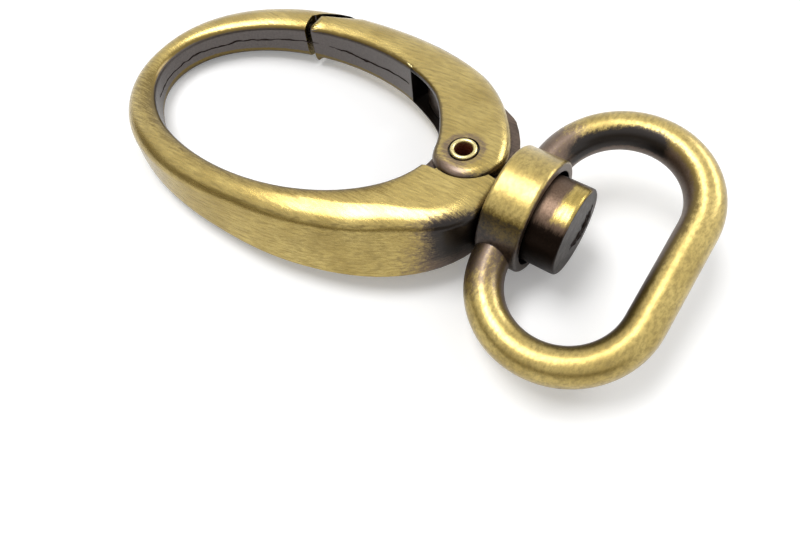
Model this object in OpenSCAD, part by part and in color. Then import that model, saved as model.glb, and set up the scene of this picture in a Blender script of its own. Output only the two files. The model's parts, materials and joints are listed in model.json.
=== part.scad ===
// Swivel snap hook: an oval hook with an inward opening gate, on a swivel with a strap loop.
// The swivel turns about X, the hook lies in the XY plane and Z runs through its thickness.
// The origin is the middle of the loop's strap bar, so the hook lies on the negative X side.

/* [Loop] */
// Diameter of the loop's round bar
bar_d = 4; // [3.2:0.1:4.6]
// Clear length inside the loop, along the strap bar
loop_in_l = 23; // [20:0.5:32]
// Clear depth of the loop, from the swivel side to the strap bar
loop_in_w = 12; // [11:0.5:16]
// Turn of the loop about the swivel as it lies
loop_turn = 11; // [0:1:20]

/* [Swivel] */
// Width of the loop's hub along the swivel
hub_w = 4.6; // [4:0.1:6]
// Thickness of the hub's web, which turns on the post
hub_web = 2.1; // [1.6:0.1:2.8]
// Thickness of the rim round the hub's recess
hub_rim = 0.95; // [0.7:0.05:1.5]
// Shift of the hub from the bar's centre line towards the strap bar
hub_shift = 0.25; // [0:0.05:0.5]
// Diameter of the post's head
head_d = 9.4; // [8.4:0.1:10.4]
// Gap between the head and the hub's rim
head_gap = 0.5; // [0.3:0.05:0.8]
// Length of the head that stands out of the hub
head_proud = 3.5; // [2:0.1:4.5]
// Diameter of the post's journal, inside the hub's web
journal_d = 4.6; // [4:0.1:6]
// Diameter of the post's tail, pressed into the hook
tail_d = 3; // [2.4:0.1:3.4]
// Length of the post's tail
tail_l = 2.3; // [1.6:0.1:2.5]

/* [Hook] */
// Length of the hook's oval opening
opening_l = 37; // [32:0.5:46]
// Width of the hook's oval opening
opening_w = 23.4; // [21:0.2:27]
// Turn of the oval opening in the hook's plane
opening_turn = 4.5; // [0:0.5:8]
// Turn of the hook's outer outline in its plane
outline_turn = 1.8; // [0:0.2:4]
// Distance of the oval's centre line from the swivel's axis
oval_side = 1.6; // [1.2:0.1:2.2]
// Width of the hook at the end far from the swivel
nose_w = 2.8; // [2.2:0.1:4]
// Width of the hook's two long sides
side_w = 4.45; // [3.8:0.05:5.5]
// Distance from the opening to the hook's base face
base_w = 8.1; // [8:0.1:9]
// Thickness of the hook at its base face
base_t = 7.8; // [7.4:0.1:9]
// Thickness of the hook at the end far from the swivel
nose_t = 4.1; // [3.4:0.1:6]
// Radius of the boss that the hub turns against
boss_r = 3.3; // [3:0.1:3.6]

/* [Gate] */
// Distance from the base face back to the hinge axis
hinge_back = 5.45; // [5.3:0.05:5.5]
// Distance of the hinge axis from the swivel's axis, to the gate's side
hinge_side = 1; // [0.7:0.1:1.2]
// Radius of the gate's round hinge end on the side of the opening
gate_end_r = 3.45; // [3.3:0.05:3.55]
// Radius of the hinge end on the outside
gate_end_out = 4.45; // [4.2:0.05:4.6]
// Thickness of the hook's tongue between the gate's cheeks
tongue_t = 5; // [4.6:0.1:5.1]
// Distance by which the tongue's two sides lie behind the gate's
tongue_back = 0.9; // [0.6:0.1:1]
// Place of the slot's end round the oval, in degrees from the swivel side
slot_angle = 58; // [54:1:66]
// Gap between the tongue and the slot's end
tongue_end_gap = 1.5; // [1:0.1:2.5]
// Place of the lap joint round the oval, in degrees from the swivel side
lap_angle = 101.5; // [96:0.5:108]
// Radius of the gate's tip in the lap joint
lap_r = 1.2; // [0.9:0.05:1.5]

/* [Rivet] */
// Outer diameter of the tubular rivet
rivet_d = 2.5; // [2.2:0.1:2.8]
// Wall of the tubular rivet
rivet_wall = 0.3; // [0.2:0.05:0.45]
// Width of the rivet's rolled lip beyond its tube
rivet_lip = 0.2; // [0.15:0.05:0.35]
// Depth of the recess in the cheeks for the rolled lip
lip_recess = 0.35; // [0.2:0.05:0.5]

/* [Spring] */
// Diameter of the spring's wire
wire_d = 0.4; // [0.3:0.05:0.45]
// Full turns of the spring
turns = 4; // [3:1:4]
// Length of wire held in the gate
leg_hold = 1; // [0.6:0.1:1.4]

/* [Clearances] */
// Running clearance of a shaft in its hole, on the radius
run_gap = 0.05; // [0.02:0.01:0.09]
// Clearance of a pressed piece in its hole, on the radius
press_gap = 0.01; // [0.005:0.005:0.02]
// End play of the hub on the post
end_play = 0.2; // [0.1:0.05:0.4]
// Gap between a cheek and the tongue
cheek_gap = 0.1; // [0.05:0.05:0.2]
// Gap between the gate's round end and its seat
seat_gap = 0.25; // [0.2:0.05:0.4]
// Gap along the lap joint
lap_gap = 0.3; // [0.2:0.05:0.4]
// Further gap in front of the gate's tip, which swings past the nose
tip_gap = 0.5; // [0.45:0.05:0.6]

/* [Hidden] */
brass = [0.72, 0.64, 0.32];
bright_brass = [0.85, 0.76, 0.42];
dark_brass = [0.42, 0.35, 0.24];
spring_steel = [0.55, 0.55, 0.56];

// Facets of a full circle, and of each rounded edge
facets = 96;
edge_steps = 6;
// Sections round the whole oval, and degrees between the gate's outline points
oval_steps = 108;
gate_step = 3.5;
// Length by which cutting shapes pass the faces that they cut
over = 1;
far = 40;

// Swivel, from the strap bar back to the hook
loop_r = (loop_in_w + bar_d) / 2;
loop_half = (loop_in_l - loop_in_w) / 2;
hub_x = -2 * loop_r + hub_shift;
hub_back = hub_x - hub_w / 2;
hub_front = hub_x + hub_w / 2;
web_front = hub_back + hub_web;
recess_r = head_d / 2 + head_gap;
hub_r = recess_r + hub_rim;
head_back = web_front + end_play / 2;
head_front = hub_front + head_proud;
base_x = hub_back - end_play / 2;
hub_edge = 0.35;
head_edge = 0.3;
seat_r = tail_d / 2 + press_gap;
boss_l = 2.5;

// Oval outlines: an ellipse inside, and a slightly squarer oval outside
base_flat = 0.4;
open_a = opening_l / 2;
open_b = opening_w / 2;
open_x = base_x - base_w - open_a;
out_a = (base_flat + base_w + opening_l + nose_w) / 2;
out_b = open_b + side_w;
out_x = base_x + base_flat - out_a;
out_left = out_x - out_a;
outline_n = 2.2;

// Rounding of the edges: how far it reaches across and down, and its share of a narrow bar
inner_across = 1;
outer_across = 2.5;
inner_share = 0.22;
outer_share = 0.5;
inner_down = 0.6;
outer_down = 1.4;
end_across = 1.3;
end_down = 1.1;

// Hinge
hinge = [base_x - hinge_back, hinge_side];
hinge_angle = 3;
leave_angle = 15;
blend_angle = 40;
cheek_z = tongue_t / 2 + cheek_gap;
notch_y = hinge.y - gate_end_r - seat_gap;
point_y = hinge.y - gate_end_r / 2;
bore_r = rivet_d / 2 - rivet_wall;
lip_r = rivet_d / 2 + rivet_lip;
lip_round = (lip_r - bore_r) / 2;
lip_room = 0.2;

// Lap joint: the angles at which its line enters and leaves, from the bar's own direction
lap_enter = 78;
lap_leave = 19;
lap_share = 0.33;
lap_in_l = 6;
lap_out_l = 11;
lap_edge = 0.3;

// Spring
coil_r = rivet_d / 2 + wire_d / 2 + 0.15;
coil_pitch = wire_d + 0.02;
pocket_r = coil_r + wire_d / 2 + 0.3;
leg_room = 0.1;
anchor_l = 1.3;
wire_sides = 6;
coil_steps = 16;

function turned(p, a) = [p.x * cos(a) - p.y * sin(a), p.x * sin(a) + p.y * cos(a)];
function heading(a) = [cos(a), sin(a)];
function mix(p, q, f) = p + (q - p) * f;
function smooth(f) = let (g = min(1, max(0, f))) g * g * (3 - 2 * g);
function angle_of(v) = atan2(v.y, v.x);

// Point of the opening's ellipse, and the direction straight out of it
function inner_pt(t) = [open_x, -oval_side] + turned([open_a * cos(t), open_b * sin(t)], opening_turn);
function out_dir(t) =
    let (v = turned([open_b * cos(t), open_a * sin(t)], opening_turn)) v / norm(v);

// Width of the bar at one place: the distance along a straight line to the outer oval
function oval_level(p) =
    let (q = turned(p - [out_x, -oval_side], -outline_turn))
    pow(abs(q.x / out_a), outline_n) + pow(abs(q.y / out_b), outline_n);
function reach(p, d, low, high, steps) =
    let (m = (low + high) / 2)
    steps == 0 ? m :
    oval_level(p + d * m) < 1 ? reach(p, d, m, high, steps - 1) : reach(p, d, low, m, steps - 1);
function bar_w(t) = reach(inner_pt(t), out_dir(t), 0, 3 * base_w, 24);

// The hook is thickest at its base and thins evenly towards the far end
function half_t(x) = mix(nose_t, base_t, (x - out_left) / (base_x - out_left)) / 2;

// Section of the bar as [distance across, depth below the face, side of the middle plane]
function edge_pt(k, across, down) =
    let (a = 90 * k / edge_steps) [across * (1 - cos(a)), down * (1 - sin(a))];
function outer_reach(w) = min(outer_across, outer_share * w);
function inner_reach(w) = min(inner_across, inner_share * w);
function outer_edge(w, k, side) = let (e = edge_pt(k, outer_reach(w), outer_down)) [w - e.x, e.y, side];
function inner_edge(w, k, side) = let (e = edge_pt(k, inner_reach(w), inner_down)) [e.x, e.y, side];
function section(w) = concat(
    [for (k = [0:edge_steps]) outer_edge(w, k, 1)],
    [for (k = [edge_steps:-1:0]) inner_edge(w, k, 1)],
    [for (k = [0:edge_steps]) inner_edge(w, k, -1)],
    [for (k = [edge_steps:-1:0]) outer_edge(w, k, -1)]
);
function ring_points(t) =
    let (a = inner_pt(t), d = out_dir(t), w = bar_w(t))
    [for (s = section(w)) let (p = a + d * s[0]) [p.x, p.y, s[2] * (half_t(p.x) - s[1])]];

// Skin between neighbouring rings of the same number of points, round a closed path
function closed_skin(rings, sides) = [
    for (i = [0:rings - 1]) for (j = [0:sides - 1])
        let (n = (i + 1) % rings, m = (j + 1) % sides)
        each [
            [i * sides + j, i * sides + m, n * sides + m],
            [i * sides + j, n * sides + m, n * sides + j]
        ]
];

// Whole oval ring, before the gate's share is taken out of it
module oval_ring() {
    rings = [for (i = [0:oval_steps - 1]) ring_points(360 * i / oval_steps)];
    polyhedron([for (r = rings) each r], closed_skin(oval_steps, len(rings[0])), convexity = 6);
}

// Lap joint line, from inside the opening to outside the hook, moved out by a gap
lap_dir = angle_of(out_dir(lap_angle)) - 90;
lap_pt = inner_pt(lap_angle) + out_dir(lap_angle) * bar_w(lap_angle) * lap_share;
function lap_line(grow, ahead) =
    let (
        enter = lap_dir + lap_enter,
        leave = lap_dir + lap_leave,
        c = lap_pt - heading(lap_dir) * ahead,
        r = lap_r + grow,
        arc = [for (k = [0:edge_steps]) c + r * heading(90 + mix(enter, leave, k / edge_steps))]
    )
    concat(
        [arc[0] - lap_in_l * heading(enter)],
        arc,
        [arc[edge_steps] + (lap_out_l + ahead) * heading(leave)]
    );

// A line across the bar near the slot's end, at a distance towards the hinge
slot_dir = out_dir(slot_angle);
slot_on = [slot_dir.y, -slot_dir.x];
function slot_line(on, across) = inner_pt(slot_angle) + slot_on * on + slot_dir * across;

// Room cut out of the ring at full thickness, between the tongue and the lap joint
module gate_room() {
    linear_extrude(height = far, center = true)
        polygon(concat(
            lap_line(lap_gap, tip_gap),
            [slot_line(tongue_end_gap, 1.5 * side_w), slot_line(tongue_end_gap, -side_w)]
        ));
}

// Room beside the tongue, which is narrower than the ring that it continues
tongue_starts = [12, 15];
tongue_full = 30;
tongue_steps = 14;
function tongue_side(t, from) =
    mix(-lap_gap, tongue_back, smooth((t - from) / (tongue_full - from)));
module tongue_sides() {
    for (outer = [0, 1]) {
        from = tongue_starts[outer];
        ts = [for (i = [0:tongue_steps]) mix(from, slot_angle, i / tongue_steps)];
        linear_extrude(height = far, center = true)
            polygon(concat(
                [for (t = ts)
                    let (d = tongue_side(t, from))
                    inner_pt(t) + out_dir(t) * (outer > 0 ? bar_w(t) - d : d)],
                [for (i = [tongue_steps:-1:0])
                    let (t = ts[i])
                    inner_pt(t) + out_dir(t) * (outer > 0 ? bar_w(t) + over : -over)]
            ));
    }
}

// Room for one cheek, above or below the tongue
module cheek_room(side) {
    translate([0, 0, side > 0 ? tongue_t / 2 : -tongue_t / 2 - far])
        linear_extrude(height = far)
            polygon([
                [hinge.x - gate_end_r - 2, notch_y],
                [hinge.x - gate_end_r / 3, notch_y],
                [hinge.x, point_y],
                [base_x + over, point_y],
                [base_x + over, far / 2],
                slot_line(tongue_end_gap - over, 3 * side_w),
                slot_line(tongue_end_gap - over, -side_w)
            ]);
    translate([0, 0, side > 0 ? tongue_t / 2 : -tongue_t / 2 - far])
        linear_extrude(height = far)
            polygon([for (k = [0:end_steps]) end_arc(k, seat_gap)]);
}

// Spring leg: a straight line that leaves the coil and ends inside the gate
leg_mid = slot_line(0, bar_w(slot_angle) / 2);
leg_far = norm(leg_mid - hinge);
leg_angle = angle_of(leg_mid - hinge) + asin(coil_r / leg_far);
leg_start = hinge + coil_r * heading(leg_angle - 90);
leg_l = sqrt(leg_far * leg_far - coil_r * coil_r) + leg_hold;
coil_sweep = leg_angle - 90 + 360 * turns;
coil_top = coil_pitch * coil_sweep / 360 / 2;
pocket_z = coil_top + wire_d / 2 + leg_room;

module along_leg(z) {
    translate([leg_start.x, leg_start.y, z]) rotate([0, 0, leg_angle]) children();
}

// Pocket in the tongue for the spring's coil, and the channel for its leg
module spring_pocket() {
    channel = wire_d + 4 * leg_room;
    translate([hinge.x, hinge.y, -pocket_z])
        cylinder(r = pocket_r, h = 2 * pocket_z, $fn = facets);
    along_leg(coil_top)
        translate([0, -channel / 2, -channel / 2])
            cube([leg_l, channel, channel]);
    translate([hinge.x + coil_r, hinge.y, -coil_top])
        rotate([90, 0, 0])
            cylinder(d = wire_d + leg_room, h = pocket_r + anchor_l + leg_room, $fn = facets / 3);
}

module hook_body() {
    color(brass)
        difference() {
            union() {
                oval_ring();
                translate([base_x - boss_l, 0, 0])
                    rotate([0, 90, 0])
                        cylinder(r = boss_r, h = boss_l, $fn = facets);
            }
            translate([base_x, -far / 2, -far / 2])
                cube([far, far, far]);
            gate_room();
            tongue_sides();
            cheek_room(1);
            cheek_room(-1);
            translate([base_x - tail_l - press_gap, 0, 0])
                rotate([0, 90, 0])
                    cylinder(r = seat_r, h = far, $fn = facets);
            translate([hinge.x, hinge.y, -far / 2])
                cylinder(r = rivet_d / 2 + press_gap, h = far, $fn = facets);
            spring_pocket();
        }
}

// Gate's outline: its inner side, the round hinge end, its outer side and the lap joint
function gate_blend(t) = 1 - smooth((t - hinge_angle) / (blend_angle - hinge_angle));
function gate_mid(t) = mix(inner_pt(t) + out_dir(t) * bar_w(t) / 2, hinge, gate_blend(t));
function gate_half(t, side) = mix(bar_w(t) / 2, side > 0 ? gate_end_out : gate_end_r, gate_blend(t));
function gate_side(t, side) = gate_mid(t) + side * out_dir(t) * gate_half(t, side);

// Place round the oval where one side of the bar meets a straight stretch of the lap line
function past_line(p, on, angle) = (p - on) * heading(angle + 90);
function meeting(side, on, angle, low, high, steps) =
    let (m = (low + high) / 2)
    steps == 0 ? m :
    past_line(gate_side(m, side), on, angle) < 0 ?
        meeting(side, on, angle, m, high, steps - 1) :
        meeting(side, on, angle, low, m, steps - 1);
lap = lap_line(0, 0);
lap_end = len(lap) - 2;
inner_stop = meeting(-1, lap[1], lap_dir + lap_enter, lap_angle - 15, lap_angle + 15, 24);
outer_stop = meeting(1, lap[lap_end], lap_dir + lap_leave, lap_angle - 25, lap_angle + 10, 24);
gate_count = ceil((outer_stop - hinge_angle) / gate_step);
tail_count = ceil((inner_stop - outer_stop) / gate_step);
function outer_at(i) = mix(hinge_angle, outer_stop, i / gate_count);
function inner_at(i) =
    i <= gate_count ?
        mix(leave_angle, outer_stop, i / gate_count) :
        mix(outer_stop, inner_stop, (i - gate_count) / tail_count);

// Round hinge end, from the inner side's first point to the outer side's
inner_first = gate_side(leave_angle, -1) - hinge;
outer_first = gate_side(hinge_angle, 1) - hinge;
end_from = angle_of(inner_first) + (angle_of(inner_first) < 0 ? 360 : 0);
end_to = angle_of(outer_first) + 360;
end_steps = 24;
function end_arc(k, gap) =
    let (f = k / end_steps, r = mix(norm(inner_first), norm(outer_first), f * f) + gap)
    hinge + r * heading(mix(end_from, end_to, f));
gate_loop = concat(
    [for (i = [gate_count + tail_count:-1:0]) gate_side(inner_at(i), -1)],
    [for (k = [1:end_steps - 1]) end_arc(k, 0)],
    [for (i = [0:gate_count]) gate_side(outer_at(i), 1)],
    [for (k = [lap_end:-1:1]) lap[k]]
);

// Rounding of the gate's edges at each point of its outline, as [across, down]
function gate_round_at(t, across, down) =
    [mix(across, end_across, gate_blend(t)), mix(down, end_down, gate_blend(t))];
function inner_round(t) = gate_round_at(t, inner_reach(bar_w(t)), inner_down);
function outer_round(t) = gate_round_at(t, outer_reach(bar_w(t)), outer_down);
gate_round = concat(
    [[lap_edge, inner_down]],
    [for (i = [gate_count + tail_count - 1:-1:0]) inner_round(inner_at(i))],
    [for (k = [1:end_steps - 1]) [end_across, end_down]],
    [for (i = [0:gate_count]) outer_round(outer_at(i))],
    [for (k = [lap_end:-1:1]) [lap_edge, lap_edge]]
);
function loop_normal(path, i) =
    let (n = len(path), v = path[(i + 1) % n] - path[(i + n - 1) % n])
    [v.y, -v.x] / norm(v);
function gate_layer(k, side) = [
    for (i = [0:len(gate_loop) - 1])
        let (
            e = edge_pt(k, gate_round[i][0], gate_round[i][1]),
            p = gate_loop[i] - loop_normal(gate_loop, i) * e.x
        )
        [p.x, p.y, side * (half_t(p.x) - e.y)]
];

// Flat face of the gate: a strip across the bar from the round end, then a fan from the lap joint
end_tip = tail_count + gate_count + end_steps / 2;
outer_last = 2 * end_tip - tail_count;
fan_from = outer_last + 1;
function facing(side, a, b, c) = side > 0 ? [a, b, c] : [a, c, b];
function gate_face(first, side) =
    let (tip = first + end_tip, corner = first + fan_from, last = first + len(gate_loop) - 1)
    concat(
        [for (k = [0:end_tip - tail_count - 1]) facing(side, tip - k - 1, tip - k, tip + k + 1)],
        [for (k = [1:end_tip - tail_count - 1]) facing(side, tip - k, tip + k, tip + k + 1)],
        [facing(side, first + tail_count, first + outer_last, corner)],
        [for (j = [0:tail_count - 1]) facing(side, first + j, first + j + 1, corner)],
        [facing(side, first, corner, last)],
        [for (j = [corner + 1:last - 1]) facing(side, corner, j, j + 1)]
    );

// Solid gate blank: layers of the outline from the lower face to the upper one
module gate_blank() {
    layers = concat(
        [for (k = [edge_steps:-1:0]) gate_layer(k, -1)],
        [for (k = [0:edge_steps]) gate_layer(k, 1)]
    );
    n = len(gate_loop);
    last = len(layers) - 1;
    walls = [
        for (l = [0:last - 1]) for (j = [0:n - 1])
            let (m = (j + 1) % n)
            each [
                [l * n + j, (l + 1) * n + j, (l + 1) * n + m],
                [l * n + j, (l + 1) * n + m, l * n + m]
            ]
    ];
    polyhedron(
        [for (l = layers) each l],
        concat(gate_face(0, 1), walls, gate_face(last * n, -1)),
        convexity = 6
    );
}

module gate() {
    recess_z = half_t(hinge.x) - lip_recess;
    color(brass)
        difference() {
            gate_blank();
            // Slot between the two cheeks, open to the inside and the outside
            translate([slot_line(0, 0).x, slot_line(0, 0).y, -cheek_z])
                rotate([0, 0, angle_of(slot_on)])
                    translate([0, -far / 2, 0])
                        cube([far, far, 2 * cheek_z]);
            translate([hinge.x, hinge.y, -far / 2])
                cylinder(r = rivet_d / 2 + run_gap, h = far, $fn = facets);
            for (z = [recess_z, -recess_z - far])
                translate([hinge.x, hinge.y, z])
                    cylinder(r = lip_r + lip_room, h = far, $fn = facets);
            // Blind hole that holds the spring's leg
            along_leg(coil_top)
                rotate([0, 90, 0])
                    cylinder(d = wire_d + 2 * leg_room, h = leg_l + leg_room, $fn = facets / 3);
        }
}

// Tubular rivet with a rolled lip over each cheek
module hinge_rivet() {
    lip_z = half_t(hinge.x) - lip_recess + run_gap + lip_round;
    color(bright_brass)
        translate([hinge.x, hinge.y, 0])
            difference() {
                union() {
                    translate([0, 0, -lip_z])
                        cylinder(d = rivet_d, h = 2 * lip_z, $fn = facets);
                    for (side = [-1, 1])
                        translate([0, 0, side * lip_z])
                            rotate_extrude($fn = facets)
                                translate([(bore_r + lip_r) / 2, 0])
                                    circle(r = lip_round, $fn = facets / 3);
                }
                cylinder(r = bore_r, h = far, center = true, $fn = facets);
            }
}

// Spring path: leg in the gate, coil round the rivet, short leg in the hook
coil_count = ceil(coil_sweep / 360 * coil_steps);
spring_path = concat(
    [for (s = [leg_l, leg_l / 2, leg_l / 8])
        let (p = leg_start + s * heading(leg_angle)) [p.x, p.y, coil_top]],
    [for (i = [0:coil_count])
        let (f = i / coil_count, p = hinge + coil_r * heading(coil_sweep * (1 - f)))
        [p.x, p.y, coil_top * (1 - 2 * f)]],
    [for (s = [0.3, 1])
        [hinge.x + coil_r, hinge.y - s * (pocket_r + anchor_l), -coil_top]]
);
function unit(v) = v / norm(v);
function path_dir(path, i) = unit(path[min(i + 1, len(path) - 1)] - path[max(i - 1, 0)]);
function wire_ring(path, i) =
    let (d = path_dir(path, i), u = unit(cross([0, 0, 1], d)), v = cross(d, u))
    [for (j = [0:wire_sides - 1])
        path[i] + wire_d / 2 * (u * cos(360 * j / wire_sides) + v * sin(360 * j / wire_sides))];

module gate_spring() {
    n = len(spring_path);
    walls = [
        for (i = [0:n - 2]) for (j = [0:wire_sides - 1])
            let (m = (j + 1) % wire_sides, a = i * wire_sides, b = (i + 1) * wire_sides)
            each [[a + j, b + j, b + m], [a + j, b + m, a + m]]
    ];
    color(spring_steel)
        polyhedron(
            [for (i = [0:n - 1]) each wire_ring(spring_path, i)],
            concat(
                [[for (j = [0:wire_sides - 1]) j]],
                walls,
                [[for (j = [wire_sides - 1:-1:0]) (n - 1) * wire_sides + j]]
            ),
            convexity = 10
        );
}

// Half outline of a turned disc from r = 0, with rounded rims, standing on z = 0
function disc_outline(r, h, edge) = concat(
    [[0, 0]],
    [for (k = [0:4]) [r - edge + edge * sin(22.5 * k), edge - edge * cos(22.5 * k)]],
    [for (k = [0:4]) [r - edge + edge * cos(22.5 * k), h - edge + edge * sin(22.5 * k)]],
    [[0, h]]
);
module turned_disc(x, r, h, edge) {
    translate([x, 0, 0])
        rotate([0, 90, 0])
            rotate_extrude($fn = facets)
                polygon(disc_outline(r, h, edge));
}

// Strap loop and hub in one casting
module swivel_loop() {
    color(brass)
        rotate([loop_turn, 0, 0])
            difference() {
                union() {
                    turned_disc(hub_back, hub_r, hub_w, hub_edge);
                    for (side = [-1, 1])
                        translate([-loop_r, side * loop_half, 0])
                            rotate([0, 0, side > 0 ? 0 : 180])
                                rotate_extrude(angle = 180, $fn = facets)
                                    translate([loop_r, 0])
                                        circle(d = bar_d, $fn = facets / 2);
                    for (x = [0, -2 * loop_r])
                        translate([x, loop_half, 0])
                            rotate([90, 0, 0])
                                cylinder(d = bar_d, h = 2 * loop_half, $fn = facets / 2);
                }
                translate([hub_back - over, 0, 0])
                    rotate([0, 90, 0])
                        cylinder(r = journal_d / 2 + run_gap, h = far / 4, $fn = facets);
                translate([web_front, 0, 0])
                    rotate([0, 90, 0])
                        cylinder(r = recess_r, h = hub_front - web_front + over, $fn = facets);
            }
}

// Headed post: the head holds the hub, the tail is pressed into the hook's base
module swivel_post() {
    color(dark_brass)
        union() {
            turned_disc(head_back, head_d / 2, head_front - head_back, head_edge);
            translate([base_x, 0, 0])
                rotate([0, 90, 0])
                    cylinder(d = journal_d, h = head_back - base_x + head_edge, $fn = facets);
            translate([base_x - tail_l, 0, 0])
                rotate([0, 90, 0])
                    cylinder(d = tail_d, h = tail_l + head_edge, $fn = facets);
        }
}

hook_body();
gate();
hinge_rivet();
gate_spring();
swivel_loop();
swivel_post();
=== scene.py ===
# %% [markdown]
# # A swivel snap hook in antique brass
# The hook, its gate and the strap loop are zinc castings with a thin brass plating. The maker
# darkens the plating with a patina and brushes it off again where a wheel can reach, so the open
# faces are gold and the inner walls stay grey and brown. Most of the look is in that contrast.
# The solids come from the CAD frame, in metres. This file dresses them, and adds the small things
# that wear and tools leave.

# %% Load the frame
import json
import math

import bpy
from mathutils import Matrix, Vector, noise

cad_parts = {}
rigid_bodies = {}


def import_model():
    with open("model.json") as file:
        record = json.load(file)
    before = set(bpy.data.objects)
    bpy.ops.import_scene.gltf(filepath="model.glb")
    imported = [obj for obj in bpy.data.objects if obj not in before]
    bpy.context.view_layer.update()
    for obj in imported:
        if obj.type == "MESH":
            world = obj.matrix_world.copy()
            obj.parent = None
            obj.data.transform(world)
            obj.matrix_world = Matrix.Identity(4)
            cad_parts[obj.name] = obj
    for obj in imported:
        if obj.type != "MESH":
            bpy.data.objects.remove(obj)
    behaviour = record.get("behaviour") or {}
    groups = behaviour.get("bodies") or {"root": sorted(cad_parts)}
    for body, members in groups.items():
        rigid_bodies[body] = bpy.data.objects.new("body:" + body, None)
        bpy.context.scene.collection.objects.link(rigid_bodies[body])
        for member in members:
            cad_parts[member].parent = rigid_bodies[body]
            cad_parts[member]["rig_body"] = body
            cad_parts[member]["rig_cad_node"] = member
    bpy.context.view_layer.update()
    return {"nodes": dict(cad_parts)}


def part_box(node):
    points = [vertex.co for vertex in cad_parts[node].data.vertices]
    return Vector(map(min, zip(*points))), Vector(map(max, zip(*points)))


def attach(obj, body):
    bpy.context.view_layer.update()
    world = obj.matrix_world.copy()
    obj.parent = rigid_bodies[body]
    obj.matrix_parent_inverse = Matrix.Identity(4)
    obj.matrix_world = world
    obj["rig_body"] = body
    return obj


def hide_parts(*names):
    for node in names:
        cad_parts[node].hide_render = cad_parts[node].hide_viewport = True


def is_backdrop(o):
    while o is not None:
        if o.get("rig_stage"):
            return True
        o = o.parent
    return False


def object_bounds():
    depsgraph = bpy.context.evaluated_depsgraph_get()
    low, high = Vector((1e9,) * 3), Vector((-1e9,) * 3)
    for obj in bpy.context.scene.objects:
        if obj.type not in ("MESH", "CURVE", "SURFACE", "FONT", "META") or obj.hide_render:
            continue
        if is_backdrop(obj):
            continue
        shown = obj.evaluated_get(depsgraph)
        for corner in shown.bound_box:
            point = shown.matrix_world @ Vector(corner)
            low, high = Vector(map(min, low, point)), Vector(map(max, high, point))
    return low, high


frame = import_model()
MM = 0.001
print("nodes:", sorted(frame["nodes"]))

# %% [markdown]
# ## Sizes that the finishes need
# A finish that follows the part has to know where the part is: the oval's middle, the hinge, the
# hub and the loop. They could be measured on the meshes, but the CAD source has them as plain
# numbers, so these repeat its values, in millimetres.

# %% Places on the part, in millimetres
oval_middle = (-44.75, -1.6, 0)
hinge = (-23.6, 1, 0)
hub_middle = (-15.75, 0, 0)
loop_middle = (-8, 0, 0)
base_x = -18.15
far_x = -66.05
# Half the bar's thickness grows from the far end to the base
far_half = 2.05
base_half = 3.9
face_slope = (base_half - far_half) / (base_x - far_x)
# The opening is an ellipse, turned a little
opening_half = (18.5, 11.7)
opening_turn = math.radians(4.5)
# The gate's cheeks cover the tongue past this x and above this y
slot_x = -35.85
slot_y = -2.4
# The gate ends in a round about the hinge
round_end_r = 4.6

# %% [markdown]
# ## The camera
# The photograph was taken from above, from the side that has no gate. A camera could be placed by
# eye, but then no edge would meet the photograph's. A fit of the part's own outlines gave this
# one's place, its three axes and its focal length.

# %% Camera
camera_right = Vector((0.8202, 0.5665, -0.0798))
camera_up = Vector((-0.4417, 0.7156, 0.5411))
camera_back = Vector((0.3637, -0.4086, 0.8371))
camera_place = Vector((3.23, -41.56, 59.05)) * MM
focal_pixels = 717.19
photo_width = 800
sensor_width = 36

bpy.ops.object.camera_add(location=(0, 0, 0))
camera = bpy.context.object
camera.name = "camera"
turn = Matrix((camera_right, camera_up, camera_back)).transposed().to_4x4()
camera.matrix_world = Matrix.Translation(camera_place) @ turn
camera.data.sensor_width = sensor_width
camera.data.lens = sensor_width * focal_pixels / photo_width
camera.data.clip_start = 0.001
bpy.context.scene.camera = camera
bpy.context.scene.view_settings.view_transform = "Standard"
print("lens:", round(camera.data.lens, 2), "mm")

# %% [markdown]
# ## One way to add a node
# A material is a small network. This helper adds one node, sets it up, and links what it is given,
# so that each finish below reads as a list of steps. Colours are written as sRGB hex values, as a
# paint shop gives them, and one function turns them into the linear values that light needs.

# %% Helpers for materials
def colour(code):
    """Linear colour from an sRGB hex value such as C9B25A."""
    parts = [int(code[i:i + 2], 16) / 255 for i in (0, 2, 4)]
    return [p / 12.92 if p < 0.04045 else ((p + 0.055) / 1.055) ** 2.4 for p in parts] + [1]


def add(tree, kind, inputs=None, **settings):
    """A new node: its settings, then its inputs, each a number or another node or socket."""
    new = tree.nodes.new(kind)
    for name, value in settings.items():
        setattr(new, name, value)
    for name, value in (inputs or {}).items():
        if isinstance(value, bpy.types.Node):
            value = value.outputs[0]
        if isinstance(value, bpy.types.NodeSocket):
            tree.links.new(value, new.inputs[name])
        else:
            new.inputs[name].default_value = value
    return new


def empty_material(name):
    """A material with nothing but its output."""
    material = bpy.data.materials.new(name)
    material.use_nodes = True
    tree = material.node_tree
    tree.nodes.clear()
    return material, tree, add(tree, "ShaderNodeOutputMaterial")


# %% [markdown]
# ## The stage
# The hook lies on a white table. It rests on the hub's rim and on the far end of the oval, which
# is thinner, so the table is tilted by five degrees in the part's own frame. A soft box hangs
# overhead and a window stands behind. Low dark cards stand round the front, where the room behind a
# camera is dark: without them, polished metal in a white room looks flat.

# %% The table
table_up = Vector((0.0848, 0.013, 0.9963)).normalized()
table_drop = -7.65
bpy.ops.object.select_all(action="DESELECT")
bpy.ops.mesh.primitive_plane_add(size=3, location=table_up * table_drop * MM)
table = bpy.context.object
table.name = "table"
table.rotation_mode = "QUATERNION"
table.rotation_quaternion = Vector((0, 0, 1)).rotation_difference(table_up)
material, tree, output = empty_material("white_table")
paths = add(tree, "ShaderNodeLightPath")
matt = add(tree, "ShaderNodeBsdfDiffuse", {"Color": colour("F4F4F4")})
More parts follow.
